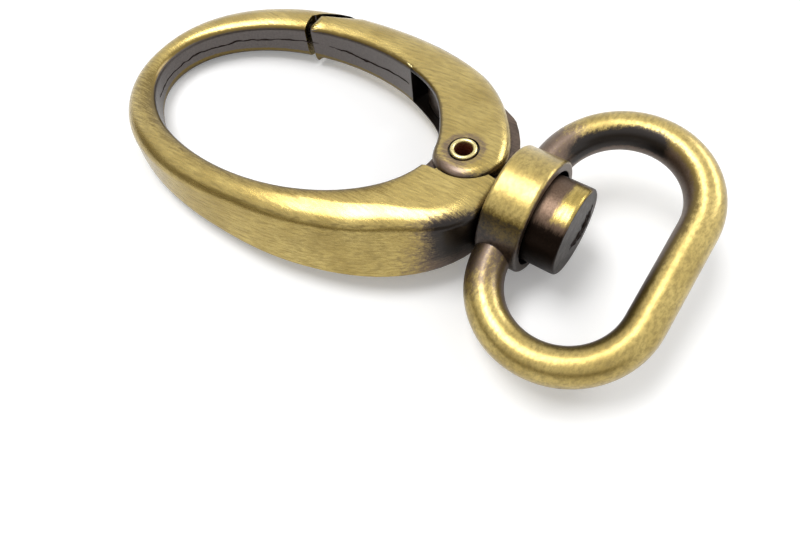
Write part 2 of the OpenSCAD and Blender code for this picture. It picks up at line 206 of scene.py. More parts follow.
# Away from the part the paper fades to plain white
spot = add(tree, "ShaderNodeTexCoord")
away = add(tree, "ShaderNodeVectorMath", {0: spot.outputs["Object"]}, operation="LENGTH")
fade = add(tree, "ShaderNodeMapRange", {
    "Value": away.outputs["Value"], "From Min": 0.09, "From Max": 0.3,
    "To Min": 0.2, "To Max": 1}, interpolation_type="SMOOTHSTEP")
glow = add(tree, "ShaderNodeEmission", {"Color": colour("FFFFFF"), "Strength": fade})
both = add(tree, "ShaderNodeAddShader", {0: matt, 1: glow})
seen = add(tree, "ShaderNodeMixShader", {0: paths.outputs["Is Camera Ray"], 1: matt, 2: both})
tree.links.new(seen.outputs[0], output.inputs["Surface"])
table.data.materials.append(material)
table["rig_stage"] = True
print("stage:", table.name)

# %% The lamps
part_middle = Vector((-0.03, 0, 0))
# Name, place, size and watts: the soft box overhead, and a window behind to the right
for name, place, size, watts in (
    ("soft_box", (-0.17, -0.03, 0.55), (0.34, 0.2), 1.9),
    ("window", (0.2, 0.42, 0.3), (0.3, 0.16), 0.9),
):
    bpy.ops.object.light_add(type="AREA", location=place)
    lamp = bpy.context.object
    lamp.name = name
    lamp.data.shape = "RECTANGLE"
    lamp.data.size, lamp.data.size_y = size
    lamp.data.energy = watts
    aim = part_middle - lamp.location
    lamp.rotation_euler = aim.to_track_quat("-Z", "Y").to_euler()
    print("lamp:", name)

# %% The dark cards, which only reflections see
card_reach = 0.32
card_material, tree, output = empty_material("dark_card")
shade = add(tree, "ShaderNodeEmission", {"Color": colour("968E7E"), "Strength": 1})
tree.links.new(shade.outputs[0], output.inputs["Surface"])
for turn_round in (200, 232, 264, 296, 328):
    way = math.radians(turn_round)
    bpy.ops.mesh.primitive_plane_add(size=1, location=(
        card_reach * math.cos(way) + part_middle.x, card_reach * math.sin(way), 0.1))
    card = bpy.context.object
    card.name = f"dark_card_{turn_round}"
    card.scale = (0.19, 0.17, 1)
    card.rotation_euler = (math.radians(90), 0, way + math.radians(90))
    card.visible_camera = False
    card.visible_diffuse = False
    card.visible_shadow = False
    card.data.materials.append(card_material)
    card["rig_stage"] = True

# %% The white room
world = bpy.data.worlds.new("white_room")
bpy.context.scene.world = world
world.use_nodes = True
tree = world.node_tree
tree.nodes.clear()
paths = add(tree, "ShaderNodeLightPath")
mirrored = add(tree, "ShaderNodeMath", {
    0: paths.outputs["Is Glossy Ray"], 1: paths.outputs["Is Transmission Ray"]},
    operation="MAXIMUM")
shown = add(tree, "ShaderNodeMath", {
    0: paths.outputs["Is Camera Ray"], 1: mirrored}, operation="MAXIMUM")
fill = add(tree, "ShaderNodeBackground", {"Color": colour("FFFFFF"), "Strength": 0.5})
white = add(tree, "ShaderNodeBackground", {"Color": colour("FFFFFF"), "Strength": 1})
mixed = add(tree, "ShaderNodeMixShader", {0: shown, 1: fill, 2: white})
add(tree, "ShaderNodeOutputWorld", {"Surface": mixed})
print("world:", world.name)

# %% [markdown]
# ## Antique brass
# Plating, patina and brushing are layers. One brown-gold noise all over would be quicker, but on
# the real part the colours have places. So each casting says where its patina stays, as masks from
# 0 to 1, and these functions lay the coats over one another: gold where the wheel went, olive where
# it only just reached and as painted dark reflection, mauve-brown and slate where it never did, and
# black in the depths, partly patina and partly painted shade and reflection. Ambient occlusion adds
# dark patina and painted shade in every hollow. The borders are grainy, because the patina comes
# off grain by grain.

# %% The gold, its brush lines and its grain
def worn_gold(tree, point, lines):
    """Brushed gold brass, the brush pattern, the grain, and what makes a border ragged."""
    tone = add(tree, "ShaderNodeTexNoise", {
        "Vector": point, "Scale": 0.22, "Detail": 3, "Roughness": 0.55})
    brush = add(tree, "ShaderNodeTexNoise", {
        "Vector": lines, "Scale": 1, "Detail": 4, "Roughness": 0.7})
    # Grains of about a fifth of a millimetre
    grain = add(tree, "ShaderNodeTexNoise", {
        "Vector": point, "Scale": 4.5, "Detail": 4, "Roughness": 0.75})
    ragged = add(tree, "ShaderNodeMath", {0: tone, 1: grain}, operation="ADD")
    ragged = add(tree, "ShaderNodeMath", {0: ragged, 1: brush}, operation="ADD")
    ragged = add(tree, "ShaderNodeMath", {0: ragged, 1: 0.65, 2: -0.975}, operation="MULTIPLY_ADD")

    shine = add(tree, "ShaderNodeMapRange", {"Value": tone, "From Min": 0.3, "From Max": 0.7})
    body = add(tree, "ShaderNodeMix", {0: shine, 6: colour("AE964F"), 7: colour("CDB66D")},
               data_type="RGBA").outputs[2]
    scratch = add(tree, "ShaderNodeMapRange", {
        "Value": brush, "From Min": 0.4, "From Max": 0.64, "To Max": 0.75})
    body = add(tree, "ShaderNodeMix", {0: scratch, 6: body, 7: colour("8E7A42")},
               data_type="RGBA").outputs[2]
    pits = add(tree, "ShaderNodeMapRange", {
        "Value": grain, "From Min": 0.7, "From Max": 0.76, "To Min": 0, "To Max": 0.7})
    body = add(tree, "ShaderNodeMix", {0: pits, 6: body, 7: colour("2E2415")},
               data_type="RGBA").outputs[2]
    return body, brush, grain, ragged


# %% The patina and the painted shade over the gold
# Each coat's name, and its darkest and lightest colour; a later coat covers an earlier one
patina_coats = (
    ("olive", "5F4D1A", "7A6528"),
    ("brown", "3C2C23", "85705F"),
    ("slate", "453F3D", "6E6662"),
    ("black", "100C0A", "2C221C"),
)


def patina(tree, body, grain, ragged, masks):
    """The colour under its coats of patina and painted shade, and how much of it they cover."""
    kept = None
    for name, dark, light in patina_coats:
        if name not in masks:
            continue
        edge = add(tree, "ShaderNodeMath", {0: masks[name], 1: ragged}, operation="ADD")
        edge = add(tree, "ShaderNodeMapRange", {
            "Value": edge, "From Min": 0.22, "From Max": 0.78}, interpolation_type="SMOOTHSTEP")
        coat = add(tree, "ShaderNodeMix", {0: grain, 6: colour(dark), 7: colour(light)},
                   data_type="RGBA").outputs[2]
        body = add(tree, "ShaderNodeMix", {0: edge, 6: body, 7: coat},
                   data_type="RGBA").outputs[2]
        kept = edge if kept is None else add(
            tree, "ShaderNodeMath", {0: kept, 1: edge}, operation="MAXIMUM")
    # Dark patina and painted shade in the depths of every hollow
    depth = add(tree, "ShaderNodeAmbientOcclusion", {"Distance": 1.5 * MM}, samples=8)
    crevice_patina_and_shade = add(tree, "ShaderNodeMapRange", {
        "Value": depth.outputs["AO"], "From Min": 0.6, "From Max": 0.25},
        interpolation_type="SMOOTHSTEP")
    body = add(tree, "ShaderNodeMix", {0: crevice_patina_and_shade, 6: body, 7: colour("0E0A08")},
               data_type="RGBA").outputs[2]
    return body, kept


# %% The whole finish
def brass_layers(tree, output, point, lines, masks, lacquer=0.7, satin=0):
    """Brushed brass, patina and painted shade, from masks named olive, brown, slate and black.

    Lacquer is the weight of the clear coat, and satin makes the whole finish softer.
    """
    body, brush, grain, ragged = worn_gold(tree, point, lines)
    body, kept = patina(tree, body, grain, ragged, masks)
    rough = add(tree, "ShaderNodeMapRange", {"Value": kept, "To Min": 0.27, "To Max": 0.4})
    rough = add(tree, "ShaderNodeMath", {0: brush, 1: 0.14, 2: rough}, operation="MULTIPLY_ADD")
    rough = add(tree, "ShaderNodeMath", {0: rough, 1: satin - 0.07}, operation="ADD")
    soft_edge = add(tree, "ShaderNodeBevel", {"Radius": 0.12 * MM}, samples=4)
    relief = add(tree, "ShaderNodeBump", {
        "Height": brush, "Distance": 0.016 * MM, "Strength": 0.8, "Normal": soft_edge})
    relief = add(tree, "ShaderNodeBump", {
        "Height": grain, "Distance": 0.014 * MM, "Strength": 0.6, "Normal": relief})
    # A thin clear lacquer keeps the brushed gold from going dull; it whitens the highlights
    surface = add(tree, "ShaderNodeBsdfPrincipled", {
        "Base Color": body, "Metallic": 1, "Roughness": rough, "Normal": relief,
        "Coat Weight": lacquer, "Coat Roughness": 0.22 + satin})
    tree.links.new(surface.outputs[0], output.inputs["Surface"])


def millimetres(tree):
    """The point on the part in millimetres, and the surface's own direction there."""
    place = add(tree, "ShaderNodeTexCoord")
    point = add(tree, "ShaderNodeVectorMath", {0: place.outputs["Object"], "Scale": 1 / MM},
                operation="SCALE")
    return point, place.outputs["Normal"]


print("finish:", ", ".join(name for name, _, _ in patina_coats), "over gold")

# %% [markdown]
# ## The finish of the oval
# The flat faces are brushed along the hook. On the walls the wheel runs along the bar, so there
# the lines are drawn in polar coordinates round the oval's middle: slow along the bar, fast across
# it. A face that looks towards the middle is an inner wall, out of the wheel's reach, and keeps its
# slate. Grime gathers in the gate's slot, round the rivet and low on the base. Each of these is one
# mask, made by one small function. Painted shade blackens the slot and the near wall by the hub,
# and painted dark reflection lies along the outer edge and on the flat face by the opening.

# %% Which way the oval's faces look
def oval_ways(tree, point, facing):
    """The arm from the oval's middle, the face's direction, its flatness, and its look outwards."""
    arm = add(tree, "ShaderNodeVectorMath", {0: point, 1: oval_middle}, operation="SUBTRACT")
    # Straight out of an ellipse, which is longer than it is wide
    slope = add(tree, "ShaderNodeVectorMath", {0: arm, 1: (1, 2.2, 0)}, operation="MULTIPLY")
    way = add(tree, "ShaderNodeVectorMath", {0: slope}, operation="NORMALIZE")
    outward = add(tree, "ShaderNodeVectorMath", {0: way, 1: facing}, operation="DOT_PRODUCT")
    turned = add(tree, "ShaderNodeSeparateXYZ", {0: facing})
    upright = add(tree, "ShaderNodeMath", {0: turned.outputs[2]}, operation="ABSOLUTE")
    is_top = add(tree, "ShaderNodeMath", {0: upright, 1: 0.8}, operation="GREATER_THAN")
    return arm, turned, is_top, outward.outputs["Value"]


# %% The brush lines of the oval
def oval_lines(tree, point, arm, is_top):
    """Lines along the hook on the flat faces, and along the bar on the walls."""
    parts = add(tree, "ShaderNodeSeparateXYZ", {0: arm})
    angle = add(tree, "ShaderNodeMath", {0: parts.outputs[1], 1: parts.outputs[0]},
                operation="ARCTAN2")
    flat = add(tree, "ShaderNodeVectorMath", {0: arm, 1: (1, 1, 0)}, operation="MULTIPLY")
    reach = add(tree, "ShaderNodeVectorMath", {0: flat}, operation="LENGTH")
    # Brush lines of about a quarter of a millimetre, coarser than real ones so that they show
    on_walls = add(tree, "ShaderNodeCombineXYZ", {
        0: add(tree, "ShaderNodeMath", {0: angle, 1: 6}, operation="MULTIPLY"),
        1: add(tree, "ShaderNodeMath", {0: reach.outputs["Value"], 1: 2}, operation="MULTIPLY"),
        2: add(tree, "ShaderNodeMath", {0: parts.outputs[2], 1: 6}, operation="MULTIPLY")})
    on_top = add(tree, "ShaderNodeVectorMath", {0: point, 1: (0.6, 5, 1)}, operation="MULTIPLY")
    return add(tree, "ShaderNodeMix", {0: is_top, 4: on_walls, 5: on_top},
               data_type="VECTOR").outputs[1]


# %% Olive: where the wheel only just reached, and painted dark reflection
def olive_on_the_oval(tree, point, arm, outward, is_top):
    """Patina by the inner walls; painted dark reflection on the outer edge and by the opening."""
    border = add(tree, "ShaderNodeMapRange", {
        "Value": outward, "From Min": -0.3, "From Max": -0.75})
    # A painted dark reflection lies just above the outer wall, below the part that the wheel
    # brightens
    painted_reflection_band = add(tree, "ShaderNodeMath", {0: outward, 1: 0.66}, operation="SUBTRACT")
    painted_reflection_band = add(tree, "ShaderNodeMath", {0: painted_reflection_band}, operation="ABSOLUTE")
    painted_reflection_band = add(tree, "ShaderNodeMapRange", {
        "Value": painted_reflection_band, "From Min": 0.13, "From Max": 0.03, "To Max": 0.42})
    border = add(tree, "ShaderNodeMath", {0: border, 1: painted_reflection_band}, operation="MAXIMUM")
    # On the opening's ellipse this length is 1; painted dark reflection on the flat face beyond it
    ellipse = add(tree, "ShaderNodeMapping", {
        "Vector": point, "Location": oval_middle, "Rotation": (0, 0, opening_turn),
        "Scale": (*opening_half, 1)}, vector_type="TEXTURE")
    ellipse = add(tree, "ShaderNodeVectorMath", {0: ellipse, 1: (1, 1, 0)}, operation="MULTIPLY")
    ellipse = add(tree, "ShaderNodeVectorMath", {0: ellipse}, operation="LENGTH")
    painted_dark_reflection = add(tree, "ShaderNodeMapRange", {
        "Value": ellipse.outputs["Value"], "From Min": 1.28, "From Max": 1.02, "To Max": 0.62})
    painted_dark_reflection = add(tree, "ShaderNodeMath", {0: painted_dark_reflection, 1: is_top}, operation="MULTIPLY")
    parts = add(tree, "ShaderNodeSeparateXYZ", {0: arm})
    near = add(tree, "ShaderNodeMapRange", {
        "Value": parts.outputs[1], "From Min": 2, "From Max": -6})
    painted_dark_reflection = add(tree, "ShaderNodeMath", {0: painted_dark_reflection, 1: near}, operation="MULTIPLY")
    return add(tree, "ShaderNodeMath", {0: border, 1: painted_dark_reflection}, operation="MAXIMUM")


# %% The slot and the inner walls
def in_the_slot(tree, along, slot_z):
    """1 between the gate's cheeks, where nothing was ever brushed, and 0 elsewhere."""
    level = add(tree, "ShaderNodeMath", {0: along.outputs[2]}, operation="ABSOLUTE")
    hidden = add(tree, "ShaderNodeMath", {0: level, 1: slot_z}, operation="LESS_THAN")
    past = add(tree, "ShaderNodeMath", {0: along.outputs[0], 1: slot_x}, operation="GREATER_THAN")
    above = add(tree, "ShaderNodeMath", {0: along.outputs[1], 1: slot_y}, operation="GREATER_THAN")
    hidden = add(tree, "ShaderNodeMath", {0: hidden, 1: past}, operation="MULTIPLY")
    return add(tree, "ShaderNodeMath", {0: hidden, 1: above}, operation="MULTIPLY")


def slate_on_the_walls(tree, along, outward, hidden):
    """The inner walls outside the slot, but for their lower rim."""
    walls = add(tree, "ShaderNodeMapRange", {
        "Value": outward, "From Min": -0.72, "From Max": -0.95})
    bare = add(tree, "ShaderNodeMath", {0: 1, 1: hidden}, operation="SUBTRACT")
    walls = add(tree, "ShaderNodeMath", {0: walls, 1: bare}, operation="MULTIPLY")
    # The wheel touches the wall's lower rim, a millimetre above the part's lower face
    rim = add(tree, "ShaderNodeMath", {
        0: along.outputs[0], 1: face_slope, 2: far_half - face_slope * far_x},
        operation="MULTIPLY_ADD")
    rim = add(tree, "ShaderNodeMath", {0: rim, 1: along.outputs[2]}, operation="ADD")
    rim = add(tree, "ShaderNodeMapRange", {"Value": rim, "From Min": 1.05, "From Max": 1.45})
    return add(tree, "ShaderNodeMath", {0: walls, 1: rim}, operation="MULTIPLY")


# %% Grime at the hinge
def hinge_grime(tree, point, along, end_grime):
    """Grease and patina round the rivet and under the gate's round end."""
    pin = add(tree, "ShaderNodeVectorMath", {0: point, 1: hinge}, operation="SUBTRACT")
    pin = add(tree, "ShaderNodeVectorMath", {0: pin, 1: (1, 1, 0)}, operation="MULTIPLY")
    pin = add(tree, "ShaderNodeVectorMath", {0: pin}, operation="LENGTH")
    halo = add(tree, "ShaderNodeMapRange", {
        "Value": pin.outputs["Value"], "From Min": 2.9, "From Max": 2.1, "To Max": 0.6})
    under = add(tree, "ShaderNodeMapRange", {
        "Value": along.outputs[1], "From Min": 0.2, "From Max": -1.9, "To Max": end_grime})
    halo = add(tree, "ShaderNodeMath", {0: halo, 1: under}, operation="MAXIMUM")
    round_end = add(tree, "ShaderNodeMath", {
        0: pin.outputs["Value"], 1: round_end_r}, operation="LESS_THAN")
    halo = add(tree, "ShaderNodeMath", {0: halo, 1: round_end}, operation="MULTIPLY")
    return add(tree, "ShaderNodeMath", {0: halo, 1: min(1, end_grime * 2)}, operation="MULTIPLY")


# %% Material of the hook and the gate
def oval_brass(name, dark_from, dark_to, dark_most, slot_z, slot_shade, end_grime):
    """Brushed brass on the oval; it darkens from one x to another, in millimetres."""
    material, tree, output = empty_material(name)
    point, facing = millimetres(tree)
    along = add(tree, "ShaderNodeSeparateXYZ", {0: point})
    arm, turned, is_top, outward = oval_ways(tree, point, facing)
    hidden = in_the_slot(tree, along, slot_z)

    base = add(tree, "ShaderNodeMapRange", {
        "Value": along.outputs[0], "From Min": dark_from, "From Max": dark_to,
        "To Min": 0, "To Max": dark_most})
    side = add(tree, "ShaderNodeMapRange", {
        "Value": turned.outputs[1], "From Min": 0, "From Max": -0.5})
    base = add(tree, "ShaderNodeMath", {0: base, 1: side}, operation="MULTIPLY")
    rubbed = add(tree, "ShaderNodeMapRange", {
        "Value": outward, "From Min": 0.2, "From Max": 0.8, "To Min": 1, "To Max": 0.45})
    rubbed = add(tree, "ShaderNodeMath", {0: rubbed, 1: hidden}, operation="MULTIPLY")
    base = add(tree, "ShaderNodeMath", {0: base, 1: rubbed}, operation="MAXIMUM")
    halo = hinge_grime(tree, point, along, end_grime)
    base = add(tree, "ShaderNodeMath", {0: base, 1: halo}, operation="MAXIMUM")

    # Painted shade, laid on as black, on the near wall by the hub and in the gate's slot
    painted_shade_by_hub_and_slot = add(tree, "ShaderNodeMapRange", {
        "Value": along.outputs[0], "From Min": -23.6, "From Max": -19.4})
    painted_shade_by_hub_and_slot = add(tree, "ShaderNodeMath", {0: painted_shade_by_hub_and_slot, 1: side}, operation="MULTIPLY")
    # The painted shade is lighter on the lower part of this wall
    shade_lighter_low_down = add(tree, "ShaderNodeMapRange", {
        "Value": along.outputs[2], "From Min": -2.4, "From Max": 0.4, "To Min": 0.45})
    painted_shade_by_hub_and_slot = add(tree, "ShaderNodeMath", {0: painted_shade_by_hub_and_slot, 1: shade_lighter_low_down}, operation="MULTIPLY")
    soot_and_slot_shade = add(tree, "ShaderNodeMath", {0: hidden, 1: slot_shade}, operation="MULTIPLY")
    painted_shade_by_hub_and_slot = add(tree, "ShaderNodeMath", {0: painted_shade_by_hub_and_slot, 1: soot_and_slot_shade}, operation="MAXIMUM")
    brass_layers(tree, output, point, oval_lines(tree, point, arm, is_top), {
        "olive": olive_on_the_oval(tree, point, arm, outward, is_top),
        "brown": base,
        "slate": slate_on_the_walls(tree, along, outward, hidden),
        "black": painted_shade_by_hub_and_slot})
    return material


hook_brass = oval_brass("antique_brass_on_the_hook", -25.5, -19, 1, 2.52, 0.45, 0)
gate_brass = oval_brass("antique_brass_on_the_gate", -23.8, -19.6, 0.8, 2.7, 1, 0.8)
print("materials:", hook_brass.name, gate_brass.name)

# %% [markdown]
# ## Smooth castings
# The CAD solids of the hook and the gate are lofts in small flat faces, with hard shading. Each is
# copied, its loose triangles are joined, and its faces are shaded smooth except at real edges. The
# copy then stands for the CAD node.
#
# The wheel has also worn the thin far half of the oval rounder than the CAD's edge towards the
# opening. Each point of the copy knows how far round the oval it is, and how far it lies out from
# the opening's edge, so the rounding can be stretched across half the bar. On the near side, the
# photograph shows the outer wall leaning in towards the top, so there the same measures shift the
# wall's upper edge. Every point moves inwards or along the surface, so nothing grows.

# %% Where a point lies on the oval
# The outline is a little fuller than an ellipse, which would have the power 2
outline_half = (24.15, 16.15)
outline_turn = math.radians(-1.8)
outline_x = -41.9
outline_power = 2.2


def turned_by(x, y, angle):
    """The point x, y turned round the origin."""
    return (x * math.cos(angle) - y * math.sin(angle), x * math.sin(angle) + y * math.cos(angle))


def round_the_oval(x, y):
    """Angle round the opening, distance out from its edge, and the way out, in millimetres."""
    a, b = opening_half
    u, v = turned_by(x - oval_middle[0], y - oval_middle[1], -opening_turn)
    angle = math.atan2(v / b, u / a)
    # Twelve small corrections bring the foot of the point onto the ellipse
    for _ in range(12):
        along = (-a * math.sin(angle), b * math.cos(angle))
        off = (u - a * math.cos(angle), v - b * math.sin(angle))
        angle += 0.6 * (off[0] * along[0] + off[1] * along[1]) / (along[0] ** 2 + along[1] ** 2)
    out = Vector((b * math.cos(angle), a * math.sin(angle))).normalized()
    distance = (u - a * math.cos(angle)) * out.x + (v - b * math.sin(angle)) * out.y
    return math.degrees(angle) % 360, distance, Vector(turned_by(out.x, out.y, opening_turn))


def bar_width(x, y, distance, out):
    """Width of the bar where a point lies."""
    near, far = 0, 12
    start = Vector((x, y)) - out * distance
    # Halving 12 mm sixteen times finds the outline to better than a micron
    for _ in range(16):
        middle = (near + far) / 2
        u, v = turned_by(start.x + out.x * middle - outline_x,
                         start.y + out.y * middle - oval_middle[1], -outline_turn)
        level = (abs(u / outline_half[0]) ** outline_power
                 + abs(v / outline_half[1]) ** outline_power)
        near, far = (middle, far) if level < 1 else (near, middle)
    return near


def step(value, low, high):
    """From 0 to 1, smoothly, as a value goes from low to high."""
    share = min(1, max(0, (value - low) / (high - low)))
    return share * share * (3 - 2 * share)


def stretched(value, old, new, end):
    """A length whose first part goes from old to new, while its end stays."""
    if value <= old:
        return value * new / old
    return value if value >= end else new + (value - old) * (end - new) / (end - old)


def bar_half(x):
    """Half the bar's thickness at x."""
    return far_half + face_slope * (x - far_x)


def outer_edge(width):
    """How far the outer rounding reaches across a bar of this width."""
    return min(2.5, 0.5 * width)


def inner_edge(width):
    """How far the rounding towards the opening reaches across the bar."""
    return min(1, 0.22 * width)


# %% The near side's leaning wall, and the far half's worn rounding
# Millimetres, and the angles round the opening, in degrees, between which each comes and goes
lean_most, lean_comes, lean_goes = 2.9, (220, 310), (322, 346)
wear_comes, wear_goes = (46, 66), (205, 260)
# The lower rounding stays upright; a bar keeps some flat and a third of its outer rounding
lower_edge, least_flat, least_share = 1, 0.3, 0.35
# Depth of the rounding in the CAD, and what wear adds
edge_deep, wear_deep = 0.6, 0.4


def leaning(angle, distance, width, depth, tall):
    """How far out a point lies once the near side's wall leans in, and where its edge ends."""
    reach = outer_edge(width)
    run = lean_most * step(angle, *lean_comes) * (1 - step(angle, *lean_goes))
    inner = inner_edge(width)
    narrow = min(1, max(least_share, (width - inner - run - least_flat) / reach))
    end = width - run - reach * narrow
    from_out = width - distance
    if from_out > reach:
        share = max(0, width - inner - from_out) / (width - inner - reach)
        new = from_out + min(1, share) * (width - end - reach)
    else:
        new = run * max(0, 1 - depth / (tall - lower_edge))
        new += from_out * (narrow if from_out > 0 else 1)
    return width - new, end


def rounder(mesh, leans):
    """Lean the near side's wall, and stretch the rounding towards the opening on the far half."""
    moved = 0
    for vertex in mesh.vertices:
        x, y, z = vertex.co / MM
        angle, distance, out = round_the_oval(x, y)
        if leans and lean_comes[0] < angle < lean_goes[1] and distance > -0.5:
            width = bar_width(x, y, distance, out)
            half = bar_half(x)
            if -half + lower_edge < z:
                nearer, _ = leaning(angle, distance, width, half - z, 2 * half)
                shift = out * (nearer - distance)
                top = face_slope * shift.x * step(z, 0, half - lower_edge)
                vertex.co = Vector((x + shift.x, y + shift.y, z + top)) * MM
                x, y, z = vertex.co / MM
                angle, distance, out = round_the_oval(x, y)
                moved += 1
        wear = step(angle, *wear_comes) * (1 - step(angle, *wear_goes))
        if wear == 0 or distance < -0.5:
            continue
        width = bar_width(x, y, distance, out)
        old = inner_edge(width)
        end = width - outer_edge(width)
        if leans and z > 0 and angle > lean_comes[0]:
            _, end = leaning(angle, distance, width, 0, 2)
        new = old + wear * max(0, min(0.47 * width, end - 0.05) - old)
        across = stretched(max(distance, 0), old, new, end)
        half = bar_half(x)
        deep = edge_deep + wear_deep * wear * (1 - step(distance, old, end))
        depth = half - stretched(half - abs(z), edge_deep, deep, half)
        shift = out * (across - max(distance, 0))
        depth += face_slope * shift.x
        vertex.co = Vector((x + shift.x, y + shift.y, math.copysign(depth, z))) * MM
        moved += 1
    return moved


# %% The hook's and the gate's castings
merge_within = 0.002 * MM


def casting(node_name, name, body, material, corner, leans):
    """A smooth-shaded copy of a CAD node that stands for it."""
    bpy.ops.object.select_all(action="DESELECT")
    source = frame["nodes"][node_name]
    source.select_set(True)
    bpy.context.view_layer.objects.active = source
    bpy.ops.object.duplicate()
    made = bpy.context.object
    made.name = name
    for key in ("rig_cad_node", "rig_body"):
        if key in made:
            del made[key]
    made.parent = None
    bpy.ops.object.mode_set(mode="EDIT")
    bpy.ops.mesh.select_all(action="SELECT")
    bpy.ops.mesh.customdata_custom_splitnormals_clear()
    bpy.ops.mesh.remove_doubles(threshold=merge_within)
    # A flat face is one polygon while its edge moves, and is cut into triangles afterwards
    bpy.ops.mesh.dissolve_limited(angle_limit=math.radians(0.1))
    bpy.ops.object.mode_set(mode="OBJECT")
    moved = rounder(made.data, leans)
    bpy.ops.object.mode_set(mode="EDIT")
    bpy.ops.mesh.select_all(action="SELECT")
    bpy.ops.mesh.quads_convert_to_tris(quad_method="BEAUTY", ngon_method="BEAUTY")
    bpy.ops.object.mode_set(mode="OBJECT")
    bpy.ops.object.shade_smooth_by_angle(angle=math.radians(corner))
    # Large flat faces keep their own direction, and only the roundings are blended
    bpy.ops.object.modifier_add(type="WEIGHTED_NORMAL")
    made.modifiers[-1].keep_sharp = True
    made.modifiers[-1].weight = 90
    bpy.ops.object.modifier_apply(modifier=made.modifiers[-1].name)
    made.data.materials.clear()
    made.data.materials.append(material)
    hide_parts(node_name)
    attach(made, body)
    print(name, len(made.data.polygons), "faces,", moved, "points moved")


casting("hook_body", "hook_casting", "hook", hook_brass, 32, True)
casting("gate", "gate_casting", "gate", gate_brass, 32, False)

# %% [markdown]
# ## Parting lines
# The two halves of a mould never meet perfectly, and leave a thin wandering ridge. Outside, the
# wheel takes it away; on the inner walls it stays, black with patina. A dark line in the material
# would do from afar, but it would vanish from the mesh. So it is drawn as a curve along the stretch
# of the oval that each casting has, given a thickness, and made a mesh. The burr and the tool mark
# further down are made in the same way.

# %% Material of the parting lines
material, tree, output = empty_material("patina_on_a_casting_ridge")
point, _ = millimetres(tree)
grain = add(tree, "ShaderNodeTexNoise", {"Vector": point, "Scale": 5, "Detail": 4})
soot_and_slot_shade = add(tree, "ShaderNodeMix", {0: grain, 6: colour("0B0807"), 7: colour("3A302C")},
           data_type="RGBA").outputs[2]
relief = add(tree, "ShaderNodeBump", {"Height": grain, "Distance": 0.03 * MM})
surface = add(tree, "ShaderNodeBsdfPrincipled", {
    "Base Color": soot_and_slot_shade, "Metallic": 1, "Roughness": 0.55, "Normal": relief})
tree.links.new(surface.outputs[0], output.inputs["Surface"])
ridge_patina = material
print("material:", ridge_patina.name)

# %% How a ridge is made
def ridge(name, points, thick, body, material):
    """A thin closed ridge through points in millimetres, thinner at its ends."""
    bpy.ops.object.select_all(action="DESELECT")
    bpy.ops.curve.primitive_nurbs_path_add(location=(0, 0, 0))
    line = bpy.context.object
    line.name = name
    bpy.ops.object.mode_set(mode="EDIT")
    bpy.ops.curve.select_all(action="SELECT")
    bpy.ops.curve.subdivide(number_cuts=24)
    bpy.ops.object.mode_set(mode="OBJECT")
    path = line.data.splines[0]
    path.type = "POLY"
    last = len(path.points) - 1
    for i, spot in enumerate(path.points):
        share = i / last
        place = points(share)
        uneven = max(0.4, 0.8 + 0.7 * noise.noise(place * 1.3))
        spot.co = (*(place * MM), 1)
        spot.radius = math.sin(math.pi * share) ** 0.3 * uneven
    line.data.dimensions = "3D"
    line.data.bevel_depth = thick * MM
    line.data.bevel_resolution = 1
    line.data.use_fill_caps = True
    bpy.ops.object.convert(target="MESH")
    line = bpy.context.object
    bpy.ops.object.mode_set(mode="EDIT")
    bpy.ops.mesh.select_all(action="SELECT")
    bpy.ops.mesh.remove_doubles(threshold=merge_within)
    bpy.ops.mesh.normals_make_consistent(inside=False)
    bpy.ops.object.mode_set(mode="OBJECT")
    bpy.ops.object.shade_smooth_by_angle(angle=math.radians(60))
    line.data.materials.clear()
    line.data.materials.append(material)
    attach(line, body)
    print(name, len(line.data.polygons), "faces")
    return line


def on_the_wall(first, last, height, set_back):
    """Points along the inner wall from one angle to another, wandering up and down."""
    def place(share):
        angle = math.radians(first + (last - first) * share)
        x, y = turned_by(opening_half[0] * math.cos(angle), opening_half[1] * math.sin(angle),
                         opening_turn)
        wander = Vector((angle * 3, 0.3, 0))
        rise = 0.35 * noise.noise(wander) + 0.16 * noise.noise(wander * 5)
        rise += 0.07 * noise.noise(wander * 17)
        return Vector((
            x * set_back + oval_middle[0], y * set_back + oval_middle[1], height + rise))
    return place


# %% Ridges on the hook and the gate
hook_parting = ridge(
    "hook_parting_line", on_the_wall(103.6, 205, 0, 1), 0.12, "hook", ridge_patina)
gate_parting = ridge(
    "gate_parting_line", on_the_wall(59.5, 99.3, 0, 1), 0.13, "gate", ridge_patina)

# %% [markdown]
# ## The strap loop
# The hub was turned and brushed round its axis, and stays dark low down, out of the wheel's reach.
# The bar is brushed on its outside; the inside of its bends, and the ends near the hub, keep their
# patina. Hub and bar are one casting, so one material serves both: it tells them apart by the
# distance from the swivel's axis, and needs no seam between two materials.

# %% The loop: which way its faces look
material, tree, output = empty_material("antique_brass_on_the_loop")
point, facing = millimetres(tree)
arm = add(tree, "ShaderNodeVectorMath", {0: point, 1: loop_middle}, operation="SUBTRACT")
flat = add(tree, "ShaderNodeVectorMath", {0: arm, 1: (1, 0.55, 0)}, operation="MULTIPLY")
way = add(tree, "ShaderNodeVectorMath", {0: flat}, operation="NORMALIZE")
outward = add(tree, "ShaderNodeVectorMath", {0: way, 1: facing}, operation="DOT_PRODUCT")
outward = outward.outputs["Value"]
turned = add(tree, "ShaderNodeSeparateXYZ", {0: facing})
to_hub = add(tree, "ShaderNodeVectorMath", {0: point, 1: hub_middle}, operation="SUBTRACT")
parts = add(tree, "ShaderNodeSeparateXYZ", {0: to_hub})
across = add(tree, "ShaderNodeVectorMath", {0: to_hub, 1: (0, 1, 1)}, operation="MULTIPLY")
across = add(tree, "ShaderNodeVectorMath", {0: across}, operation="LENGTH")
across = across.outputs["Value"]
print("loop: directions ready")

